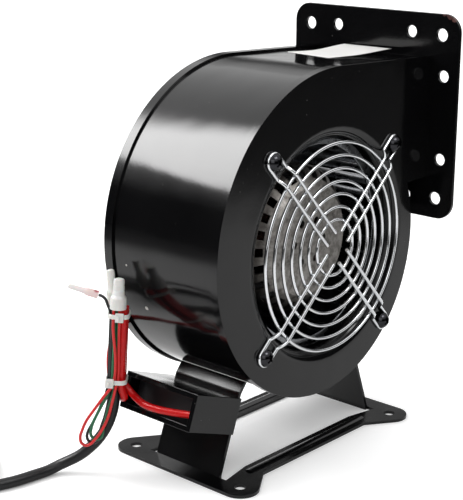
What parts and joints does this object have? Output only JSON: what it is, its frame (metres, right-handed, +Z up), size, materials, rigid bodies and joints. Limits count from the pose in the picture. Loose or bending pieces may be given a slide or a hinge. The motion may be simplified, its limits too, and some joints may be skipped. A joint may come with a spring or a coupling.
{
  "type": "centrifugal fan",
  "caption": "Single-inlet centrifugal blower: scroll housing with square outlet flange and wire inlet guard on a stamped base, external-rotor motor, run capacitor and mains cable",
  "frame": {"origin": "centre of the base's four bolt holes, on the floor plane under the base", "axes": "+Z up, shaft along Y with the inlet facing -Y, outlet blowing along +X"},
  "size_m": [0.3106, 0.2057, 0.241],
  "materials": {
    "black_enamel": "glossy black stove enamel",
    "chrome_wire": "bright plated wire",
    "black_screw": "black oxide",
    "capacitor_case": "glossy black",
    "grey_metal": "plain sheet",
    "iron_core": "bare laminations",
    "bearing_steel": "ground",
    "cast_aluminium": "as cast",
    "copper_windings": "varnished copper",
    "label_paper": "blank white film",
    "black_rubber": "semi-matt",
    "red_sleeve": "varnished sleeve",
    "green_wire": "smooth",
    "white_nylon": "natural nylon",
    "pink_nylon": "translucent",
    "plug_brass": "drawn"
  },
  "bodies": {
    "housing": {"base_frame": "black_enamel", "capacitor_box": "black_enamel", "capacitor": "capacitor_case", "front_plate": "black_enamel", "scroll_wall": "black_enamel", "back_plate": "black_enamel", "outlet_flange": "black_enamel", "guard_rings": "chrome_wire", "guard_arm_1": "chrome_wire", "guard_arm_2": "chrome_wire", "guard_arm_3": "chrome_wire", "guard_arm_4": "chrome_wire", "guard_screw_1": "black_screw", "guard_screw_2": "black_screw", "guard_screw_3": "black_screw", "guard_screw_4": "black_screw", "guard_nut_1": "black_screw", "guard_nut_2": "black_screw", "guard_nut_3": "black_screw", "guard_nut_4": "black_screw", "front_bearing_outer": "bearing_steel", "rear_bearing_outer": "bearing_steel", "bearing_tube": "cast_aluminium", "stator_core": "iron_core", "stator_windings": "copper_windings", "motor_screw_1": "black_screw", "motor_screw_2": "black_screw", "motor_screw_3": "black_screw", "motor_screw_4": "black_screw", "rating_label": "label_paper", "motor_lead_sleeve": "red_sleeve", "capacitor_lead_sleeve": "red_sleeve", "red_wire_loop": "red_sleeve", "green_wire_loop": "green_wire", "black_wire_loop": "black_rubber", "mains_cable": "black_rubber", "cable_tail": "black_rubber", "motor_lead_grommet": "black_rubber", "upper_wire_tie": "white_nylon", "lower_wire_tie": "white_nylon", "splice_cap_front": "white_nylon", "splice_cap_back": "white_nylon", "splice_cap_side": "pink_nylon", "cable_coil": "black_rubber", "coil_tie": "white_nylon", "plug_body": "black_rubber", "plug_pins": "plug_brass"},
    "rotor": {"impeller_blades": "grey_metal", "impeller_front_ring": "grey_metal", "impeller_back_disc": "grey_metal", "disc_rivets": "grey_metal", "rotor_cup": "grey_metal", "rotor_core": "iron_core", "shaft": "bearing_steel", "shaft_circlip": "black_screw", "front_bearing_inner": "bearing_steel", "front_bearing_balls": "bearing_steel", "rear_bearing_inner": "bearing_steel", "rear_bearing_balls": "bearing_steel"}
  },
  "joints": [
    {"name": "impeller_spin", "type": "hinge", "parent": "housing", "child": "rotor", "pos_m": [0.0036, 0, 0.121], "axis": [0, 1, 0], "continuous": true}
  ]
}
